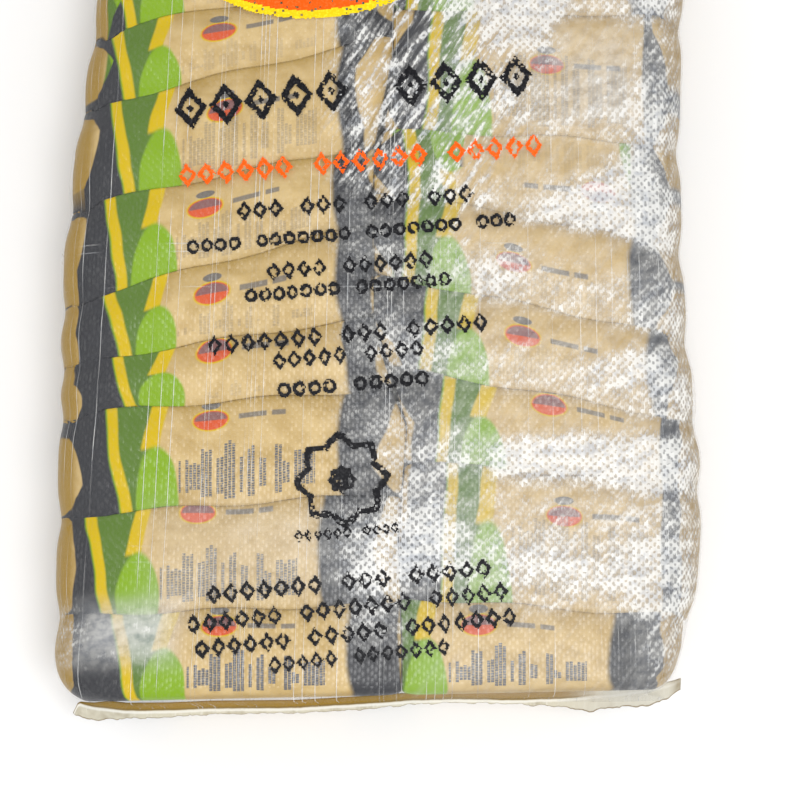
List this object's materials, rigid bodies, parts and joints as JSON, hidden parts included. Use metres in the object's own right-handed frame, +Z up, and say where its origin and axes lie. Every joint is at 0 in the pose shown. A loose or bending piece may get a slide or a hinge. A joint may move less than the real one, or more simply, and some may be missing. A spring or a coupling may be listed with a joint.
{
  "type": "bag of brown sugar",
  "caption": "Clear woven sack filled tight with columns of printed brown sugar packs, lying on its back, with a flat folded hem at each end.",
  "frame": {"origin": "middle of the footprint, on the surface that the sack lies on", "axes": "+X across the sack to its right as seen from the front, +Y from the bottom hem to the top hem, +Z up out of the printed front"},
  "size_m": [0.38, 0.546, 0.122],
  "materials": {
    "woven_film": "clear woven plastic over tan packs, glossy",
    "hem_film": "folded woven plastic, milky white",
    "pack_film": "printed plastic film over brown sugar, glossy",
    "print_ink": "black, orange and yellow ink printed on the woven film"
  },
  "bodies": {
    "root": {"sack": "woven_film"}
  },
  "joints": []
}
